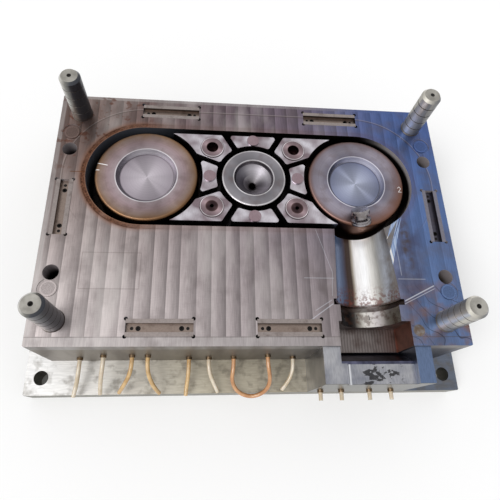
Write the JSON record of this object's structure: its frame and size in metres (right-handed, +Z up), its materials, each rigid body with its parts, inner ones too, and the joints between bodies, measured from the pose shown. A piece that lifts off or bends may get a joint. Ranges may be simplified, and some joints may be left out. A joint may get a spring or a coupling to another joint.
{
  "type": "injection mould half",
  "caption": "Fixed half of a steel injection mould: cavity plate with round chambers, ribbed islands, a pipe trough and leader pins on a clamp plate.",
  "frame": {"origin": "centre of the clamp plate's underside, the face that goes against the machine's platen", "axes": "+Z up out of the parting face, along the leader pins; +X to the right along the long side; +Y to the back, away from the slide pocket and cooling hoses"},
  "size_m": [0.887, 0.682, 0.3145],
  "materials": {
    "plate_steel": "face-milled, light rust",
    "clamp_steel": "ground",
    "pin_steel": "ground",
    "pad_steel": "ground",
    "lock_steel": "ground and nitrided",
    "black_oxide_steel": "black oxide",
    "left_disc_steel": "turned, rust-brown rim",
    "right_disc_steel": "turned and polished",
    "gate_steel": "turned",
    "island_steel": "polished",
    "core_pin_steel": "ground",
    "heel_steel": "ground",
    "wear_steel": "oiled",
    "turned_steel": "turned",
    "ring_steel": "turned",
    "plug_steel": "turned",
    "nipple_brass": "turned",
    "hose_cream": "soft tube",
    "hose_amber": "soft tube",
    "hose_orange": "soft tube"
  },
  "bodies": {
    "root": {"cavity_plate": "plate_steel", "cheek_screws": "black_oxide_steel", "clamp_plate": "clamp_steel", "corner_pin_1": "core_pin_steel", "corner_pin_2": "core_pin_steel", "corner_pin_3": "core_pin_steel", "corner_pin_4": "core_pin_steel", "gate_insert": "gate_steel", "heel_block": "heel_steel", "hose_1": "hose_cream", "hose_2": "hose_cream", "hose_3": "hose_amber", "hose_4": "hose_amber", "hose_5": "hose_amber", "hose_6": "hose_cream", "hose_7": "hose_cream", "hose_loop": "hose_orange", "hose_nipples": "nipple_brass", "hose_stubs": "hose_cream", "leader_pin_1": "pin_steel", "leader_pin_2": "pin_steel", "leader_pin_3": "pin_steel", "leader_pin_4": "pin_steel", "left_cheek": "heel_steel", "left_disc": "left_disc_steel", "locating_ring": "ring_steel", "locating_ring_screws": "black_oxide_steel", "plate_screws": "black_oxide_steel", "return_pad_1": "pad_steel", "return_pad_2": "pad_steel", "return_pad_3": "pad_steel", "return_pad_4": "pad_steel", "rib_block": "island_steel", "right_cheek": "heel_steel", "right_disc": "right_disc_steel", "round_plug": "plug_steel", "side_lock_1": "lock_steel", "side_lock_2": "lock_steel", "side_lock_3": "lock_steel", "side_lock_4": "lock_steel", "side_lock_5": "lock_steel", "side_lock_6": "lock_steel", "side_lock_dowels": "black_oxide_steel", "side_lock_screws": "black_oxide_steel", "sprue_bush": "ring_steel", "turned_pin": "turned_steel", "wear_plate": "wear_steel"}
  },
  "joints": []
}
